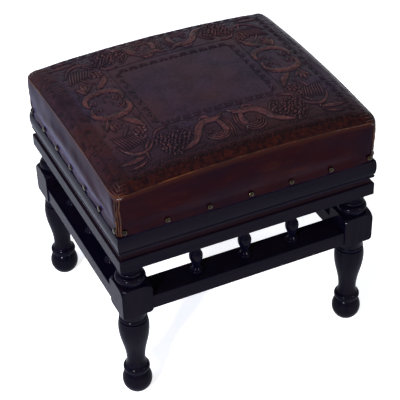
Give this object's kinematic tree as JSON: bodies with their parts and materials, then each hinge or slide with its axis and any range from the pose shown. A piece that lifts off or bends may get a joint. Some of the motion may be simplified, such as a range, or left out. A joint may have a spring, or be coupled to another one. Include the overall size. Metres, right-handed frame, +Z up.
{
  "type": "upholstered stool",
  "caption": "Rectangular stool with turned legs, flat stretchers under a gallery of short spindles, a moulded frame and a crowned cushion of dark tooled leather edged with domed tacks.",
  "frame": {"origin": "middle of the floor area under the stool, at floor level", "axes": "+X along the long side, +Y from the front long side to the back one, +Z up"},
  "size_m": [0.472, 0.414, 0.462],
  "materials": {
    "stained_wood": "dark stain, semi-gloss",
    "plywood": "raw",
    "tooled_leather": "tooled, semi-gloss",
    "side_leather": "smooth, semi-gloss",
    "foam": "matte",
    "antique_brass": "antiqued",
    "steel": "zinc plated"
  },
  "bodies": {
    "root": {"foam_core": "foam", "frame_board_back": "stained_wood", "frame_board_front": "stained_wood", "frame_board_left": "stained_wood", "frame_board_right": "stained_wood", "glue_block_back_left": "stained_wood", "glue_block_back_right": "stained_wood", "glue_block_front_left": "stained_wood", "glue_block_front_right": "stained_wood", "leather_side_back": "side_leather", "leather_side_front": "side_leather", "leather_side_left": "side_leather", "leather_side_right": "side_leather", "leather_top": "tooled_leather", "leg_back_left": "stained_wood", "leg_back_right": "stained_wood", "leg_front_left": "stained_wood", "leg_front_right": "stained_wood", "moulded_rail_back": "stained_wood", "moulded_rail_front": "stained_wood", "moulded_rail_left": "stained_wood", "moulded_rail_right": "stained_wood", "seat_board": "plywood", "seat_screws": "steel", "spindle_back_1": "stained_wood", "spindle_back_2": "stained_wood", "spindle_back_3": "stained_wood", "spindle_front_1": "stained_wood", "spindle_front_2": "stained_wood", "spindle_front_3": "stained_wood", "spindle_left_1": "stained_wood", "spindle_left_2": "stained_wood", "spindle_left_3": "stained_wood", "spindle_right_1": "stained_wood", "spindle_right_2": "stained_wood", "spindle_right_3": "stained_wood", "stretcher_back": "stained_wood", "stretcher_front": "stained_wood", "stretcher_left": "stained_wood", "stretcher_right": "stained_wood", "tacks_back": "antique_brass", "tacks_front": "antique_brass", "tacks_left": "antique_brass", "tacks_right": "antique_brass"}
  },
  "joints": []
}
